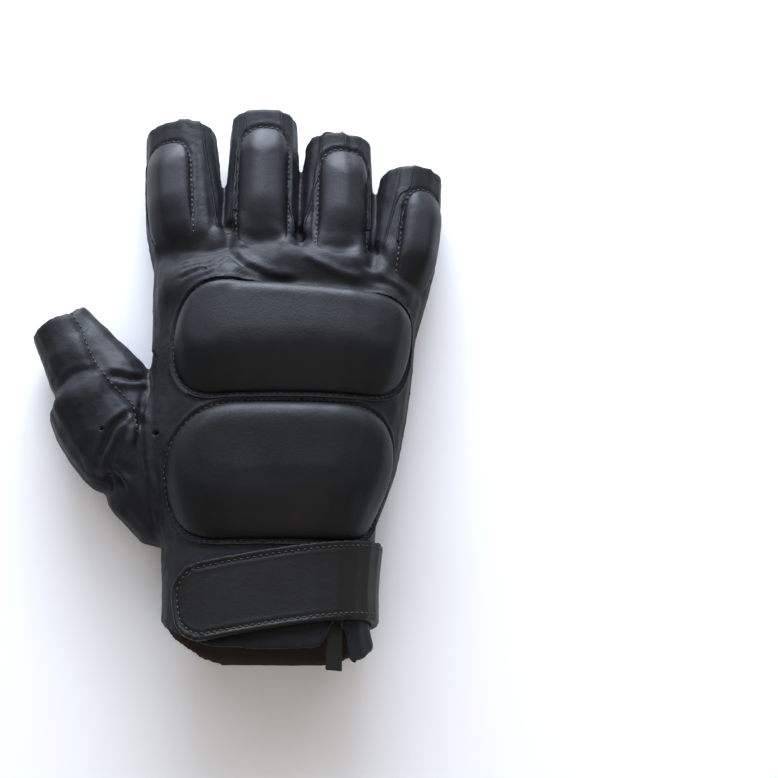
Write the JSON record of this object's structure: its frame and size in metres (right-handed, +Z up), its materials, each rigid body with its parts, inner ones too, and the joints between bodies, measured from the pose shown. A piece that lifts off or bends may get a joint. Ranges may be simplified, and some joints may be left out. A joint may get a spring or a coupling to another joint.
{
  "type": "padded half-finger glove",
  "caption": "Black leather half-finger work glove for the right hand, with domed pads on the back and fingers, a grip palm and a wrist strap.",
  "frame": {"origin": "middle of the footprint's box, on the surface the glove lies on", "axes": "+Y from the wrist to the fingertips, +Z up out of the back of the hand, -X to the thumb"},
  "size_m": [0.1468, 0.206, 0.0461],
  "materials": {
    "smooth_leather": "black full-grain leather, soft sheen",
    "pad_leather": "black leather stretched over foam, satin",
    "strap_leather": "black leather, two layers stitched, satin",
    "grip_leather": "black suede leather with pebbled grip coating, matt",
    "binding_tape": "black woven binding tape, matt"
  },
  "bodies": {
    "root": {"back_panel": "smooth_leather", "palm_panel": "smooth_leather", "side_wall_index_middle": "smooth_leather", "side_wall_middle_ring": "smooth_leather", "side_wall_ring_little": "smooth_leather", "thumb_outer_panel": "smooth_leather", "thumb_inner_panel": "smooth_leather", "index_pad": "pad_leather", "middle_pad": "pad_leather", "ring_pad": "pad_leather", "little_pad": "pad_leather", "knuckle_pad": "pad_leather", "back_pad": "pad_leather", "wrist_strap": "strap_leather", "slit_tape": "binding_tape", "palm_grip": "grip_leather", "thumb_grip": "grip_leather"}
  },
  "joints": []
}
